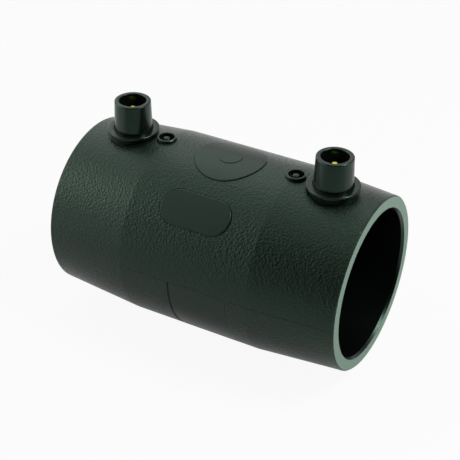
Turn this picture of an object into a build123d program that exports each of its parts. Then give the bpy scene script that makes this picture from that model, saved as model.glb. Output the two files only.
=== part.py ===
"""Electrofusion coupler for two 63 mm polyethylene pipes.

A moulded sleeve with a fusion winding in its wall, two shrouded contact pins and
two melt indicators. The bore runs along X, the terminals point to +Z, and the
origin is on the bore's axis, midway between the mouths. Lengths are millimetres.
"""
import os
from math import cos, radians, sin

from build123d import *

os.makedirs("parts", exist_ok=True)

# Sleeve: a cylindrical barrel between two cones that narrow to the mouths
length = 134.0
barrel_radius = 40.2
barrel_half = 29.5
mouth_radius = 37.3
mouth_chamfer = 0.6
bore_radius = 31.7
lead_in = 1.2
stop_radius = 30.2
stop_width = 2.4

# Fusion winding, buried just under the bore; a square wire with the area of a
# round one 0.8 mm thick
wire = 0.71
winding_radius = bore_radius + 1.1
zone_turns = 4
zone_inner = 19.4
sections_per_turn = 20

# Terminals
terminal_x = 47.0
rim_height = 54.2
rim_radius = 7.7
foot_radius = 8.1
collar_top = 41.5
collar_radius = 11.1
collar_thickness = 1.3
shroud_bore = 5.75
shroud_floor = 42.4
foot_groove = 0.4
edge_break = 0.4
stem_radius = 6.4
stem_bottom = 35.8
boss_radius = 10.2
boss_foot_radius = 9.6
pin_radius = 2.0
pin_top = 51.2
pin_bottom = 34.0
pin_nose_foot = 48.0
pin_tip_radius = 1.2
pin_shank_radius = 2.4
pin_foot_radius = 3.0

# Melt indicators
indicator_x = 30.5
indicator_rim_radius = 4.2
indicator_rim_top = 41.2
indicator_rim_break = 0.25
indicator_well_radius = 3.3
indicator_well_floor = 37.6
indicator_pin_radius = 1.6
indicator_pin_top = 40.9
indicator_pin_bottom = 34.4
spoke_width = 0.6
spoke_top = 40.0
spoke_height = 1.2

# Smooth marking fields on the sleeve
field_height = 0.35
field_root = 34.0
round_field_radius = 15.0
round_field_x = 0.5
round_field_eye = 5.0
eye_height = 0.2
oval_field_length = 31.5
oval_field_width = 15.0
oval_field_angle = 45.7
oval_field_x = 0.0
side_field_length = 27.0
side_field_x = 7.0
side_field_angle = 24.0
side_field_depth = 0.15

half = length / 2
boss_top = collar_top - collar_thickness
BASE = (Align.CENTER, Align.CENTER, Align.MIN)
ALONG_X = (0, 90, 0)


def field_plane(angle, x, radius):
    """A plane square to the sleeve's radius, at this angle above the -Y side."""
    normal = Vector(0, -cos(radians(angle)), sin(radians(angle)))
    return Plane(origin=Vector(x, 0, 0) + normal * radius, x_dir=(1, 0, 0), z_dir=normal)


def winding_stations():
    """Each section's place along X and its angle round the bore, from pin to pin."""
    runs = (
        (-terminal_x, -zone_inner, zone_turns),
        (-zone_inner, zone_inner, 1),
        (zone_inner, terminal_x, zone_turns),
    )
    stations = []
    angle = 0.0
    for start, end, turns in runs:
        steps = turns * sections_per_turn
        for i in range(steps):
            stations.append((start + (end - start) * i / steps, angle + 360 * turns * i / steps))
        angle += 360 * turns
    return stations + [(terminal_x, angle)]


# Contact pins: turned brass, with a tapered nose for the lead's plug, a thicker shank
# that the shroud is moulded round, and a wide foot under the shroud's stem
pins = []
for side, x in (("left", -terminal_x), ("right", terminal_x)):
    with BuildPart() as contact_pin:
        with BuildSketch(Plane.XZ):
            with BuildLine():
                Polyline(
                    (x, pin_bottom),
                    (x + pin_foot_radius, pin_bottom),
                    (x + pin_foot_radius, stem_bottom),
                    (x + pin_shank_radius, stem_bottom),
                    (x + pin_shank_radius, shroud_floor),
                    (x + pin_radius, shroud_floor),
                    (x + pin_radius, pin_nose_foot),
                    (x + pin_tip_radius, pin_top),
                    (x, pin_top),
                    close=True,
                )
            make_face()
        revolve(axis=Axis((x, 0, 0), (0, 0, 1)))
    contact_pin.part.label = f"contact_pin_{side}"
    export_step(contact_pin.part, f"parts/contact_pin_{side}.step")
    pins.append(contact_pin.part)


# Terminal shrouds: smooth tapered towers that rise from a groove in a round collar,
# with a stem that is moulded into the sleeve's boss
shrouds = []
for side, x, pin in (("left", -terminal_x, pins[0]), ("right", terminal_x, pins[1])):
    foot = Vector(x + foot_radius, collar_top - foot_groove)
    rim = Vector(x + rim_radius, rim_height)
    with BuildPart() as terminal_shroud:
        with BuildSketch(Plane.XZ):
            with BuildLine():
                Polyline(
                    rim,
                    (x + shroud_bore, rim_height),
                    (x + shroud_bore, shroud_floor),
                    (x, shroud_floor),
                    (x, stem_bottom),
                    (x + stem_radius, stem_bottom),
                    (x + stem_radius, boss_top),
                    (x + collar_radius, boss_top),
                    (x + collar_radius, collar_top),
                    (x + foot_radius + foot_groove, collar_top),
                    foot,
                )
                Bezier(foot, (foot + rim) / 2, rim)
            make_face()
        revolve(axis=Axis((x, 0, 0), (0, 0, 1)))
        circles = terminal_shroud.edges().filter_by(GeomType.CIRCLE)
        chamfer(circles.group_by(Axis.Z)[-1], edge_break)
        at_collar_top = circles.filter_by_position(Axis.Z, collar_top - 0.01, collar_top + 0.01)
        chamfer(at_collar_top.sort_by(SortBy.RADIUS)[-1], edge_break)
        add(pin, mode=Mode.SUBTRACT)
    terminal_shroud.part.label = f"terminal_shroud_{side}"
    export_step(terminal_shroud.part, f"parts/terminal_shroud_{side}.step")
    shrouds.append(terminal_shroud.part)


# Indicator pins: a round pin held in its well by four thin webs
indicators = []
for side, x in (("left", -indicator_x), ("right", indicator_x)):
    with BuildPart() as indicator_pin:
        with BuildSketch(Plane.XY.offset(indicator_pin_bottom)):
            with Locations((x, 0)):
                Circle(indicator_pin_radius)
        extrude(amount=indicator_pin_top - indicator_pin_bottom)
        chamfer(indicator_pin.edges().sort_by(Axis.Z)[-1], indicator_rim_break)
        with BuildSketch(Plane.XY.offset(spoke_top - spoke_height)):
            with Locations((x, 0)):
                Rectangle(2 * indicator_well_radius, spoke_width)
                Rectangle(spoke_width, 2 * indicator_well_radius)
                Circle(indicator_well_radius, mode=Mode.INTERSECT)
        extrude(amount=spoke_height)
    indicator_pin.part.label = f"indicator_pin_{side}"
    export_step(indicator_pin.part, f"parts/indicator_pin_{side}.step")
    indicators.append(indicator_pin.part)


# Heating coil: one resistance wire, wound in two fusion zones with a steep turn
# across the cold middle, and led up to the foot of each pin
with BuildPart() as heating_coil:
    for x, angle in winding_stations():
        turn = radians(angle)
        station = Plane(
            origin=(x, winding_radius * sin(turn), winding_radius * cos(turn)),
            x_dir=(1, 0, 0),
            z_dir=(0, cos(turn), -sin(turn)),
        )
        with BuildSketch(station):
            Rectangle(wire, wire)
    loft(ruled=True)
    with BuildSketch(Plane.XY.offset(winding_radius - wire / 2)):
        with Locations((-terminal_x, 0), (terminal_x, 0)):
            Rectangle(wire, wire)
    extrude(amount=pin_bottom - winding_radius + wire / 2)
heating_coil.part.label = "heating_coil"
export_step(heating_coil.part, "parts/heating_coil.step")


# Marking fields: a round field and a stadium stand proud of the sleeve
with BuildPart() as raised_fields:
    with BuildSketch(field_plane(90, round_field_x, field_root)):
        Circle(round_field_radius)
    with BuildSketch(field_plane(oval_field_angle, oval_field_x, field_root)):
        SlotOverall(oval_field_length, oval_field_width)
    extrude(amount=barrel_radius - field_root + 2)
    Cylinder(barrel_radius + field_height, length, rotation=ALONG_X, mode=Mode.INTERSECT)

# The round field carries a smaller one at its centre
with BuildPart() as field_eye:
    with BuildSketch(field_plane(90, round_field_x, field_root)):
        Circle(round_field_eye)
    extrude(amount=barrel_radius - field_root + 2)
    Cylinder(
        barrel_radius + field_height + eye_height, length, rotation=ALONG_X, mode=Mode.INTERSECT
    )

# A rectangular field is sunk by a hair, with its top edge on the parting plane
with BuildPart() as sunk_field:
    with BuildSketch(field_plane(-side_field_angle, side_field_x, field_root)):
        Rectangle(side_field_length, 2 * barrel_radius * sin(radians(side_field_angle)))
    extrude(amount=barrel_radius - field_root + 2)
    Cylinder(barrel_radius - side_field_depth, length, rotation=ALONG_X, mode=Mode.SUBTRACT)


# Socket body: the sleeve with its bosses, indicator rims and marking fields
with BuildPart() as socket_body:
    with BuildSketch(Plane.XZ):
        with BuildLine():
            Polyline(
                (-half, mouth_radius),
                (-barrel_half, barrel_radius),
                (barrel_half, barrel_radius),
                (half, mouth_radius),
                (half, 0),
                (-half, 0),
                close=True,
            )
        make_face()
    revolve(axis=Axis.X)
    mouth_edges = socket_body.edges().filter_by(GeomType.CIRCLE).filter_by(
        lambda e: abs(abs(e.arc_center.X) - half) < 0.01
    )
    chamfer(mouth_edges, mouth_chamfer)
    add(raised_fields.part)
    add(field_eye.part)
    add(sunk_field.part, mode=Mode.SUBTRACT)

    # Bosses under the collars, and the indicators' rims
    with Locations((-terminal_x, 0, field_root), (terminal_x, 0, field_root)):
        Cone(boss_foot_radius, boss_radius, boss_top - field_root, align=BASE)
    with Locations((-indicator_x, 0, field_root), (indicator_x, 0, field_root)):
        Cylinder(indicator_rim_radius, indicator_rim_top - field_root, align=BASE)
    rim_edges = socket_body.edges().filter_by(GeomType.CIRCLE).filter_by(
        lambda e: abs(e.arc_center.Z - indicator_rim_top) < 0.01
    )
    chamfer(rim_edges, indicator_rim_break)
    with Locations((-indicator_x, 0, indicator_well_floor), (indicator_x, 0, indicator_well_floor)):
        Cylinder(indicator_well_radius, 10, align=BASE, mode=Mode.SUBTRACT)

    # The bore, with a lead-in at each mouth and a stop ring in the middle
    with BuildSketch(Plane.XZ):
        with BuildLine():
            Polyline(
                (-half, 0),
                (-half, bore_radius + lead_in / 2),
                (-half + lead_in, bore_radius),
                (-stop_width / 2, bore_radius),
                (-stop_width / 2, stop_radius),
                (stop_width / 2, stop_radius),
                (stop_width / 2, bore_radius),
                (half - lead_in, bore_radius),
                (half, bore_radius + lead_in / 2),
                (half, 0),
                close=True,
            )
        make_face()
    revolve(axis=Axis.X, mode=Mode.SUBTRACT)

    # The sleeve is moulded round everything that is set in it
    for insert in (*shrouds, *pins, *indicators, heating_coil.part):
        add(insert, mode=Mode.SUBTRACT)
socket_body.part.label = "socket_body"
export_step(socket_body.part, "parts/socket_body.step")
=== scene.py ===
import math

import bpy
from mathutils import Matrix, Vector


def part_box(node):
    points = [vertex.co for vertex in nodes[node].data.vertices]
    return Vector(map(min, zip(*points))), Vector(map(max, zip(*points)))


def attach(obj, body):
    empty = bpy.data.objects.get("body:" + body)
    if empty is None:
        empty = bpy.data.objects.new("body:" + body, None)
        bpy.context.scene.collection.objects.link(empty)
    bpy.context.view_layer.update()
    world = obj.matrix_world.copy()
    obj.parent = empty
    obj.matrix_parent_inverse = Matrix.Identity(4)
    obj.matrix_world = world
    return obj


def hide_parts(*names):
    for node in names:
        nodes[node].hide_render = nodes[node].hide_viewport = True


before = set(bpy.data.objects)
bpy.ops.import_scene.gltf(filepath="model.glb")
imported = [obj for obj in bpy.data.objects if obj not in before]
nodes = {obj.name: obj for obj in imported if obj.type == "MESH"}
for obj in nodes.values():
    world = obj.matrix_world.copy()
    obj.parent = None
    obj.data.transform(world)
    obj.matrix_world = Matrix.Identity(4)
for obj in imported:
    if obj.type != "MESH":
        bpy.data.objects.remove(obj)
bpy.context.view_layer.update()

MM = 0.001
bpy.context.scene.view_settings.view_transform = "Standard"

# Camera: a long lens from the front right, well above the bore's axis, with the
# right mouth turned towards it and the whole coupler in view.
camera_data = bpy.data.cameras.new("camera")
camera_data.lens = 99.3
camera_data.sensor_width = 36
camera_data.clip_start = 0.01
camera = bpy.data.objects.new("camera", camera_data)
bpy.context.scene.collection.objects.link(camera)
bpy.context.scene.camera = camera
camera_place = Vector((0.2200, -0.3960, 0.3006))
camera_target = Vector((-0.0007, 0.0019, 0.0030))
camera_roll = math.radians(0.55)
look = (camera_target - camera_place).to_track_quat("-Z", "Y").to_matrix()
camera.matrix_world = Matrix.Translation(camera_place) @ (
    look @ Matrix.Rotation(camera_roll, 3, "Z")
).to_4x4()


# Studio: a white paper floor in a tent of white cloth with a dark open front, and three
# soft lights. Seen directly both are white. Gloss shows the tent as bright as the light
# that it sends back, and the floor with painted light, dim in front and bright behind
# and to the left. The floor keeps the coupler's shadow.
def linear(hex_colour):
    """An sRGB hex colour as linear red, green, blue and alpha."""
    channels = [int(hex_colour[i:i + 2], 16) / 255 for i in (1, 3, 5)]
    return [c / 12.92 if c <= 0.04045 else ((c + 0.055) / 1.055) ** 2.4 for c in channels] + [1]


def start_finish(name):
    """A new material, with its node tree and its shader."""
    finish = bpy.data.materials.new(name)
    finish.use_nodes = True
    return finish, finish.node_tree, finish.node_tree.nodes["Principled BSDF"]


def add_node(tree, kind, settings=None, values=None, links=None):
    """A shader node with its settings, its input values and the sockets linked to its inputs."""
    node = tree.nodes.new(kind)
    for name, setting in (settings or {}).items():
        setattr(node, name, setting)
    for socket, value in (values or {}).items():
        node.inputs[socket].default_value = value
    for socket, source in (links or {}).items():
        tree.links.new(source, node.inputs[socket])
    return node


def maths(tree, operation, first, *others):
    """Sockets or numbers put together one after the other by the same operation."""
    for second in others or (None,):
        node = add_node(tree, "ShaderNodeMath", {"operation": operation})
        for i, term in enumerate((first, second)):
            if hasattr(term, "links"):
                tree.links.new(term, node.inputs[i])
            elif term is not None:
                node.inputs[i].default_value = term
        first = node.outputs[0]
    return first


def rise(tree, value, start, end, low=0.0, high=1.0, shape="SMOOTHSTEP"):
    """The low value up to the start, going over to the high one at the end."""
    return add_node(
        tree, "ShaderNodeMapRange", {"interpolation_type": shape},
        {"From Min": start, "From Max": end, "To Min": low, "To Max": high},
        {"Value": value}).outputs[0]


def place_in(tree):
    """The place in the object's own axes, whole and as its three parts."""
    place = add_node(tree, "ShaderNodeTexCoord").outputs["Object"]
    return place, add_node(tree, "ShaderNodeSeparateXYZ", links={0: place}).outputs


def seen_in_gloss(tree, ray):
    """One for the rays that come by way of gloss or glass."""
    return maths(tree, "MAXIMUM", ray["Is Glossy Ray"], ray["Is Transmission Ray"])


# Matt white paper that fades into the background: shaded only where the coupler stands.
# In gloss it glows with painted light, a painted reflection of paper lit from behind.
paper_glow = 0.93
painted_light_at_front = 0.15
painted_light_behind = (-60 * MM, 40 * MM)
painted_light_left = (-110 * MM, -200 * MM)
floor_side = 8
paper, tree, shader = start_finish("white_paper")
shader.inputs["Base Color"].default_value = linear("#f2f3f2")
shader.inputs["Roughness"].default_value = 0.9
ray = add_node(tree, "ShaderNodeLightPath").outputs
axes = place_in(tree)[1]
# Painted light on the paper, seen in gloss: dim in front, full behind the coupler and to its left.
painted_paper_light = maths(tree, "MAXIMUM", rise(tree, axes["Y"], *painted_light_behind, painted_light_at_front, 1.0),
                  rise(tree, axes["X"], *painted_light_left, painted_light_at_front, 1.0))
seen = maths(tree, "MAXIMUM", ray["Is Camera Ray"],
             maths(tree, "MULTIPLY", seen_in_gloss(tree, ray), painted_paper_light))
glow = add_node(tree, "ShaderNodeEmission", values={"Color": (1, 1, 1, 1), "Strength": 1.0})
mixed = add_node(tree, "ShaderNodeMixShader", links={
    0: maths(tree, "MULTIPLY", seen, paper_glow), 1: shader.outputs[0], 2: glow.outputs[0]})
tree.links.new(mixed.outputs[0], tree.nodes["Material Output"].inputs["Surface"])

bpy.ops.object.select_all(action="DESELECT")
floor_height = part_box("socket_body")[0].z
bpy.ops.mesh.primitive_plane_add(size=floor_side, location=(0, 0, floor_height))
floor = bpy.context.object
floor.name = "paper_floor"
floor.data.materials.append(paper)

# The tent's cloth. Each pair is where a part of it starts and ends, along one axis of
# the direction looked in. The open front and a dull strip behind give dark reflections.
tent_light = 0.2
tent_gloss = 0.62
opening_left = (-0.35, -0.30)
opening_front = (0.0, -0.25)
opening_top = (0.90, 0.78)
strip_back = (0.2, 0.35)
strip_bottom = (0.28, 0.40)
strip_top = (0.70, 0.60)
strip_dullness = 0.6
left_panel_edge = (-0.42, -0.60)
left_extra = 0.8
world = bpy.data.worlds.new("light_tent")
bpy.context.scene.world = world
world.use_nodes = True
tree = world.node_tree
background = tree.nodes["Background"]
background.inputs["Color"].default_value = (1, 1, 1, 1)
toward = add_node(tree, "ShaderNodeSeparateXYZ", links={
    0: add_node(tree, "ShaderNodeTexCoord").outputs["Generated"]}).outputs
opening = maths(tree, "MULTIPLY", rise(tree, toward["X"], *opening_left),
                rise(tree, toward["Y"], *opening_front), rise(tree, toward["Z"], *opening_top))
strip = maths(tree, "MULTIPLY", rise(tree, toward["Y"], *strip_back),
              rise(tree, toward["Z"], *strip_bottom), rise(tree, toward["Z"], *strip_top),
              strip_dullness)
cloth = maths(tree, "ADD", maths(tree, "SUBTRACT", 1.0, opening, strip),
              rise(tree, toward["X"], *left_panel_edge, 0.0, left_extra))
ray = add_node(tree, "ShaderNodeLightPath").outputs
level = rise(tree, seen_in_gloss(tree, ray), 0, 1, tent_light, tent_gloss)
strength = add_node(tree, "ShaderNodeMix", {}, {"B": 1.0}, {
    "Factor": ray["Is Camera Ray"], "A": maths(tree, "MULTIPLY", level, cloth)})
tree.links.new(strength.outputs["Result"], background.inputs["Strength"])


def add_softbox(name, place, side, power):
    """A square area light at a place in metres, turned to the coupler."""
    data = bpy.data.lights.new(name, "AREA")
    data.shape = "SQUARE"
    data.size = side
    data.energy = power
    lamp = bpy.data.objects.new(name, data)
    bpy.context.scene.collection.objects.link(lamp)
    lamp.location = place
    lamp.rotation_euler = (-Vector(place)).to_track_quat("-Z", "Y").to_euler()


add_softbox("top_light", (-0.4, 0.55, 0.8), 0.9, 1.8)
add_softbox("left_light", (-0.95, -0.35, 0.42), 0.6, 2.2)
add_softbox("right_light", (0.33, 0.08, 0.46), 0.2, 1.5)


# Sleeve: black polyethylene, injection moulded in one piece round the winding and
# the terminals. The mould is spark eroded, but for its marking fields, bosses and
# indicator rims, which are polished, and its ends are faced off.
def step_down(tree, distance, edge, blur):
    """One inside the edge, falling to nought outside it over the blur."""
    return rise(tree, distance, edge - blur / 2, edge + blur / 2, 1.0, 0.0)


def hypotenuse(tree, first, second):
    """The distance that two offsets at right angles make."""
    return maths(tree, "SQRT", maths(
        tree, "ADD", maths(tree, "MULTIPLY", first, first),
        maths(tree, "MULTIPLY", second, second)))


def away_from(tree, along, across, middle):
    """Distance, seen from above, from a point on the crest of the sleeve."""
    return hypotenuse(tree, maths(tree, "SUBTRACT", along, middle), across)


def field_height(tree, across, up, angle):
    """Height above the middle of a field that faces this angle above the -Y side."""
    a = math.radians(angle)
    return maths(tree, "ADD", maths(tree, "MULTIPLY", across, math.sin(a)),
                 maths(tree, "MULTIPLY", up, math.cos(a)))


def facing(tree, across, up, angle):
    """One on the half of the sleeve that faces this angle above the -Y side."""
    a = math.radians(angle)
    depth = maths(tree, "ADD", maths(tree, "MULTIPLY", across, math.cos(a)),
                  maths(tree, "MULTIPLY", up, -math.sin(a)))
    return step_down(tree, depth, 0, 1 * MM)


line_half_width = 0.24 * MM
line_blur = 0.3 * MM


def hair_line(tree, distance, side, weight):
    """A thin line of that weight, where the distance from an edge is nought on that side."""
    line = step_down(tree, maths(tree, "ABSOLUTE", distance), line_half_width, line_blur)
    return maths(tree, "MULTIPLY", line, side, weight)


def noise(tree, place, size, detail=2.0, roughness=0.5):
    """Even mottling of one size, in metres."""
    return add_node(tree, "ShaderNodeTexNoise", {}, {
        "Scale": 1 / size, "Detail": detail, "Roughness": roughness}, {"Vector": place})


def tint(tree, share, first, second):
    """A colour between a first, in hex or from a socket, and a second in hex."""
    node = add_node(tree, "ShaderNodeMix", {"data_type": "RGBA"},
                    {"B": linear(second)}, {"Factor": share})
    if hasattr(first, "links"):
        tree.links.new(first, node.inputs["A"])
    else:
        node.inputs["A"].default_value = linear(first)
    return node.outputs["Result"]


def emboss(tree, shader, height, strength, depth):
    """Relief on the surface, from a height that goes over one unit in this depth."""
    bump = add_node(tree, "ShaderNodeBump", {}, {"Strength": strength, "Distance": depth},
                    {"Height": height})
    tree.links.new(bump.outputs[0], shader.inputs["Normal"])


def middle_of(node):
    """How far along the bore's axis the middle of a node is."""
    low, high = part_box(node)
    return (low.x + high.x) / 2


sleeve_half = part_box("socket_body")[1].x
terminal_place = middle_of("contact_pin_right")
indicator_place = middle_of("indicator_pin_right")
boss_radius = 10.7 * MM
rim_radius = 4.5 * MM
bore_reach = 32.4 * MM
round_middle = 0.5 * MM
round_radius = 15.0 * MM
oval_angle = 45.7
oval_straight_half = 8.25 * MM
oval_radius = 7.5 * MM
side_angle = -24
side_middle = 7 * MM
side_half_length = 13.5 * MM
side_half_height = 16.3 * MM
field_blur = 0.3 * MM
line_offset = 0.1 * MM

grain_plastic, tree, shader = start_finish("black_polyethylene_spark_eroded")
place, axes = place_in(tree)
along, across, up = axes["X"], axes["Y"], axes["Z"]
distance_along = maths(tree, "ABSOLUTE", along)
on_top = step_down(tree, maths(tree, "MULTIPLY", up, -1.0), 0, 0.5 * MM)
on_oval_side = facing(tree, across, up, oval_angle)
on_low_side = facing(tree, across, up, side_angle)

# Where the skin is polished or faced instead of spark eroded.
round_distance = away_from(tree, along, across, round_middle)
round_field = maths(tree, "MULTIPLY", on_top,
                    step_down(tree, round_distance, round_radius, field_blur))
bosses = maths(tree, "MULTIPLY", on_top, step_down(
    tree, away_from(tree, distance_along, across, terminal_place), boss_radius, 0.5 * MM))
rims = maths(tree, "MULTIPLY", on_top, step_down(
    tree, away_from(tree, distance_along, across, indicator_place), rim_radius, field_blur))
oval_distance = hypotenuse(
    tree, maths(tree, "MAXIMUM", maths(tree, "SUBTRACT", distance_along, oval_straight_half), 0),
    field_height(tree, across, up, oval_angle))
oval_field = maths(tree, "MULTIPLY", on_oval_side,
                   step_down(tree, oval_distance, oval_radius, field_blur))
side_up = maths(tree, "ABSOLUTE", field_height(tree, across, up, side_angle))
side_along = maths(tree, "ABSOLUTE", maths(tree, "SUBTRACT", along, side_middle))
side_field = maths(tree, "MULTIPLY", on_low_side,
                   step_down(tree, side_up, side_half_height, field_blur),
                   step_down(tree, side_along, side_half_length, field_blur))
faced_ends_with_painted_light = maths(tree, "SUBTRACT", 1.0, step_down(
    tree, distance_along, sleeve_half - 0.05 * MM, 0.1 * MM))
bore = step_down(tree, hypotenuse(tree, across, up), bore_reach, 0.2 * MM)
smooth = maths(tree, "MAXIMUM", bore, round_field, bosses, rims, oval_field, side_field, faced_ends_with_painted_light)
grained = maths(tree, "SUBTRACT", 1.0, smooth)

# Thin dark lines round the fields, painted shade where their edges step, and the mould's
# parting line at mid height, a real dark seam.
side_edge = maths(tree, "MAXIMUM", maths(tree, "SUBTRACT", side_up, side_half_height),
                  maths(tree, "SUBTRACT", side_along, side_half_length))
painted_edge_shade_and_seam = maths(
    tree, "MAXIMUM", hair_line(tree, side_edge, on_low_side, 0.7),
    hair_line(tree, maths(tree, "SUBTRACT", oval_distance, oval_radius + line_offset),
              on_oval_side, 0.6),
    hair_line(tree, maths(tree, "SUBTRACT", round_distance, round_radius + line_offset),
              on_top, 0.25),
    hair_line(tree, up, 1.0, 0.5))
painted_edge_shade_and_seam = maths(tree, "MULTIPLY", painted_edge_shade_and_seam, maths(
    tree, "SUBTRACT", 1.0, maths(tree, "MAXIMUM", bore, faced_ends_with_painted_light)))

# The grain: soft cells a little under 1 mm across with finer pits, so that light
# breaks up into leathery sparkle, while the polished marks stay calm.
grain_size = 0.92 * MM
pit_size = 0.35 * MM
warp_reach = 0.5 * MM
cell_share = 0.75
pit_share = 0.5
line_depth = 1.2
polished_relief = 0.12
warp = noise(tree, place, 2.2 * grain_size)
bent = add_node(tree, "ShaderNodeVectorMath", {"operation": "MULTIPLY_ADD"},
                {1: (warp_reach,) * 3}, {0: warp.outputs["Color"], 2: place})
cells = add_node(tree, "ShaderNodeTexVoronoi", {"feature": "SMOOTH_F1"},
                 {"Scale": 1 / grain_size, "Smoothness": 0.6}, {"Vector": bent.outputs[0]})
pits = noise(tree, place, pit_size, 3.0, 0.6).outputs["Fac"]
grain = maths(tree, "ADD", maths(tree, "MULTIPLY", cells.outputs["Distance"], cell_share),
              maths(tree, "MULTIPLY", pits, pit_share))
relief = maths(tree, "ADD", maths(tree, "MULTIPLY", grain, rise(
    tree, grained, 0.0, 1.0, polished_relief, 1.0)), maths(tree, "MULTIPLY", painted_edge_shade_and_seam, -line_depth))
emboss(tree, shader, relief, 1.0, 0.2 * MM)

# Nearly black with a green cast, slightly cloudy. The faced ends are painted pale
# grey-green, painted light for the bright light that they catch, and the bore is darkest.
# The grain is glossier in the pits' low places than on their crests.
patches = noise(tree, place, 14 * MM, 3.0).outputs["Fac"]
skin = tint(tree, patches, "#0f1713", "#151e19")
# Painted shade along the fields' edges, and the parting seam's own dark colour.
skin = tint(tree, painted_edge_shade_and_seam, skin, "#030504")
# Painted light: the faced ends are coloured pale, as if brightly lit.
skin = tint(tree, faced_ends_with_painted_light, skin, "#8fab9a")
skin = tint(tree, bore, skin, "#060807")
tree.links.new(skin, shader.inputs["Base Color"])
gloss = add_node(tree, "ShaderNodeMix", {}, {"A": 0.3}, {
    "Factor": grained, "B": rise(tree, pits, 0.35, 0.65, 0.2, 0.36)}).outputs["Result"]
tree.links.new(maths(tree, "MAXIMUM", gloss, maths(tree, "MULTIPLY", faced_ends_with_painted_light, 0.6)),
               shader.inputs["Roughness"])
shader.inputs["IOR"].default_value = 1.5
shader.inputs["Specular Tint"].default_value = linear("#ccffe2")
sleeve = nodes["socket_body"]
sleeve.data.materials.clear()
sleeve.data.materials.append(grain_plastic)

# Terminal shrouds: black polyethylene towers on round collars, each turned true in a
# polished mould. A welding lead's plug slides over the tower, and the stem under the
# collar is sealed into the sleeve's boss.
shroud_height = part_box("terminal_shroud_right")[1].z / MM
stem_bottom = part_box("terminal_shroud_right")[0].z / MM
shroud_floor = 42.4
collar_top = 41.5
collar_seat = 40.2
shroud_bore = 5.75
lip_radius = 7.7
foot_radius = 8.1
fillet_radius = 8.5
fillet_drop = 0.4
collar_radius = 11.1
stem_radius = 6.4
shroud_profile = (
    (0, shroud_floor, 0), (shroud_bore, shroud_floor, 0.3), (shroud_bore, shroud_height, 0.35),
    (lip_radius, shroud_height, 0.45), (foot_radius, collar_top - fillet_drop, 0.2),
    (fillet_radius, collar_top, 0.15), (collar_radius, collar_top, 0.5),
    (collar_radius, collar_seat, 0.2), (stem_radius, collar_seat, 0),
    (stem_radius, stem_bottom, 0.2), (0, stem_bottom, 0),
)
smooth_angle = math.radians(35)
same_spot = 0.001
weld_reach = 0.004


def turn_piece(name, middle, profile, steps):
    """Spins a profile of radius, height and corner rounding, all in mm, about an upright axis."""
    bpy.ops.object.select_all(action="DESELECT")
    first_radius, first_height, _ = profile[0]
    bpy.ops.mesh.primitive_plane_add(
        size=1 * MM, location=(middle + first_radius * MM, 0, first_height * MM))
    piece = bpy.context.object
    piece.name = name
    bpy.ops.object.transform_apply(location=True, rotation=True, scale=True)
    bpy.ops.object.mode_set(mode="EDIT")
    bpy.ops.mesh.select_mode(type="VERT")
    bpy.ops.mesh.select_all(action="SELECT")
    bpy.ops.mesh.merge(type="CENTER")
    for (radius, height, _), (next_radius, next_height, _) in zip(profile, profile[1:]):
        bpy.ops.mesh.extrude_vertices_move(TRANSFORM_OT_translate={
            "value": ((next_radius - radius) * MM, 0, (next_height - height) * MM)})
    for radius, height, rounding in profile:
        if rounding:
            bpy.ops.mesh.select_all(action="DESELECT")
            bpy.ops.object.mode_set(mode="OBJECT")
            corner = Vector((middle + radius * MM, 0, height * MM))
            for vertex in piece.data.vertices:
                vertex.select = (vertex.co - corner).length < same_spot * MM
            bpy.ops.object.mode_set(mode="EDIT")
            bpy.ops.mesh.bevel(offset=rounding * MM, segments=4, affect="VERTICES")
    bpy.ops.mesh.select_all(action="SELECT")
    bpy.ops.mesh.spin(steps=steps, angle=math.tau, center=(middle, 0, 0), axis=(0, 0, 1))
    bpy.ops.mesh.select_all(action="SELECT")
    bpy.ops.mesh.remove_doubles(threshold=weld_reach * MM)
    bpy.ops.mesh.normals_make_consistent(inside=False)
    bpy.ops.object.mode_set(mode="OBJECT")
    bpy.ops.object.shade_smooth_by_angle(angle=smooth_angle)
    return piece


def copy_to_left(piece, name, place):
    """A copy of a piece on the right half at the same place on the left, with its own mesh."""
    bpy.ops.object.select_all(action="DESELECT")
    piece.select_set(True)
    bpy.context.view_layer.objects.active = piece
    bpy.ops.object.duplicate(linked=False)
    copy = bpy.context.object
    copy.name = name
    bpy.ops.transform.translate(value=(-2 * place, 0, 0))
    bpy.ops.object.transform_apply(location=True, rotation=True, scale=True)
    return copy


# Smooth black with sharp, faintly rippled highlights, as on polished mouldings.
smooth_plastic, tree, shader = start_finish("black_polyethylene_polished")
shader.inputs["IOR"].default_value = 1.5
shader.inputs["Specular Tint"].default_value = linear("#ccffe2")
place = place_in(tree)[0]
emboss(tree, shader, noise(tree, place, 2.5 * MM).outputs["Fac"], 0.25, 0.05 * MM)
clouding = noise(tree, place, 5 * MM, 3.0).outputs["Fac"]
tree.links.new(tint(tree, clouding, "#0c100e", "#121715"), shader.inputs["Base Color"])
tree.links.new(rise(tree, clouding, 0.3, 0.7, 0.18, 0.24, "LINEAR"), shader.inputs["Roughness"])

right_shroud = turn_piece("shroud_right", terminal_place, shroud_profile, 96)
right_shroud.data.materials.append(smooth_plastic)
left_shroud = copy_to_left(right_shroud, "shroud_left", terminal_place)
for piece, node in ((left_shroud, "terminal_shroud_left"), (right_shroud, "terminal_shroud_right")):
    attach(piece, "root")
    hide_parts(node)

# Contact pins: brass turned from the bar, 4 mm thick, with a tapered nose that leads
# the welding plug on. The shank and the foot are inside the plastic.
pin_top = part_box("contact_pin_right")[1].z / MM
pin_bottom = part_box("contact_pin_right")[0].z / MM
nose_foot = 48.0
pin_tip_radius = 1.2
pin_radius = 2.0
shank_radius = 2.4
pin_foot_radius = 3.0
pin_profile = (
    (0, pin_top, 0), (pin_tip_radius, pin_top, 0.5), (pin_radius, nose_foot, 0.6),
    (pin_radius, shroud_floor, 0), (shank_radius, shroud_floor, 0),
    (shank_radius, stem_bottom, 0), (pin_foot_radius, stem_bottom, 0),
    (pin_foot_radius, pin_bottom, 0), (0, pin_bottom, 0),
)

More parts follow.
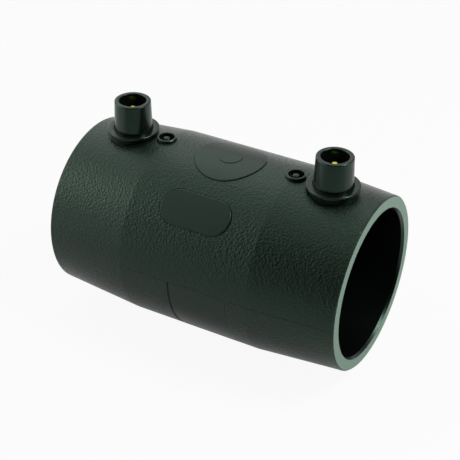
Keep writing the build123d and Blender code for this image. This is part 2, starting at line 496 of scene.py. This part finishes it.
# Bright yellow metal with fine rings from the lathe and a little dulling by handling.
turning_pitch = 0.12 * MM
brass, tree, shader = start_finish("turned_brass")
shader.inputs["Metallic"].default_value = 1
place, axes = place_in(tree)
turning = add_node(tree, "ShaderNodeTexNoise", {"noise_dimensions": "1D"},
                   {"Scale": 1 / turning_pitch}, {"W": axes["Z"]})
emboss(tree, shader, turning.outputs["Fac"], 0.3, 0.02 * MM)
tarnish = noise(tree, place, 1.2 * MM, 3.0).outputs["Fac"]
tree.links.new(tint(tree, tarnish, "#f1f263", "#dcdc4e"), shader.inputs["Base Color"])
tree.links.new(rise(tree, tarnish, 0.3, 0.7, 0.25, 0.4, "LINEAR"), shader.inputs["Roughness"])

right_pin = turn_piece("pin_right", terminal_place, pin_profile, 48)
right_pin.data.materials.append(brass)
left_pin = copy_to_left(right_pin, "pin_left", terminal_place)
for piece, node in ((left_pin, "contact_pin_left"), (right_pin, "contact_pin_right")):
    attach(piece, "root")
    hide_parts(node)

# Fusion indicators: small black polyethylene pins with domed tops, each held in its
# round well by four thin webs, that rise when the joint has fused.
indicator_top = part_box("indicator_pin_right")[1].z / MM
indicator_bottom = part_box("indicator_pin_right")[0].z / MM
indicator_radius = 1.6
indicator_profile = (
    (0, indicator_top, 0), (indicator_radius, indicator_top, 0.8),
    (indicator_radius, indicator_bottom, 0.1), (0, indicator_bottom, 0),
)
web_length = 6.6
web_thickness = 0.6
web_height = 1.2
web_middle = 39.4
web_rounding = 0.12
right_indicator = turn_piece("indicator_right", indicator_place, indicator_profile, 40)
webs = []
for turn in (0, math.pi / 2):
    bpy.ops.object.select_all(action="DESELECT")
    bpy.ops.mesh.primitive_cube_add(size=1, location=(indicator_place, 0, web_middle * MM))
    web = bpy.context.object
    web.scale = (web_length * MM, web_thickness * MM, web_height * MM)
    web.rotation_euler.z = turn
    bpy.ops.object.transform_apply(location=True, rotation=True, scale=True)
    bpy.ops.object.mode_set(mode="EDIT")
    bpy.ops.mesh.select_all(action="SELECT")
    bpy.ops.mesh.bevel(offset=web_rounding * MM, segments=2)
    bpy.ops.object.mode_set(mode="OBJECT")
    webs.append(web)
bpy.ops.object.select_all(action="DESELECT")
for piece in (*webs, right_indicator):
    piece.select_set(True)
bpy.context.view_layer.objects.active = right_indicator
bpy.ops.object.join()
bpy.ops.object.shade_smooth_by_angle(angle=smooth_angle)
right_indicator.data.materials.clear()
right_indicator.data.materials.append(smooth_plastic)
left_indicator = copy_to_left(right_indicator, "indicator_left", indicator_place)
for piece, node in ((left_indicator, "indicator_pin_left"),
                    (right_indicator, "indicator_pin_right")):
    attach(piece, "root")
    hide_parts(node)

# Heating coil: bare copper-nickel resistance wire, drawn through dies and wound in a
# spiral for each half. The sleeve is moulded round it, so it shows only in a cut wall.

# A pale pinkish wire with browner oxide bloom, which is duller than the drawn skin.
wire_metal, tree, shader = start_finish("drawn_copper_nickel")
shader.inputs["Metallic"].default_value = 1
place = place_in(tree)[0]
bloom = noise(tree, place, 2.5 * MM, 3.0).outputs["Fac"]
tree.links.new(tint(tree, rise(tree, bloom, 0.4, 0.65), "#d9a988", "#b07d5c"),
               shader.inputs["Base Color"])
tree.links.new(rise(tree, bloom, 0.4, 0.65, 0.28, 0.45), shader.inputs["Roughness"])
emboss(tree, shader, noise(tree, place, 0.15 * MM).outputs["Fac"], 0.4, 0.01 * MM)
nodes["heating_coil"].data.materials.clear()
nodes["heating_coil"].data.materials.append(wire_metal)
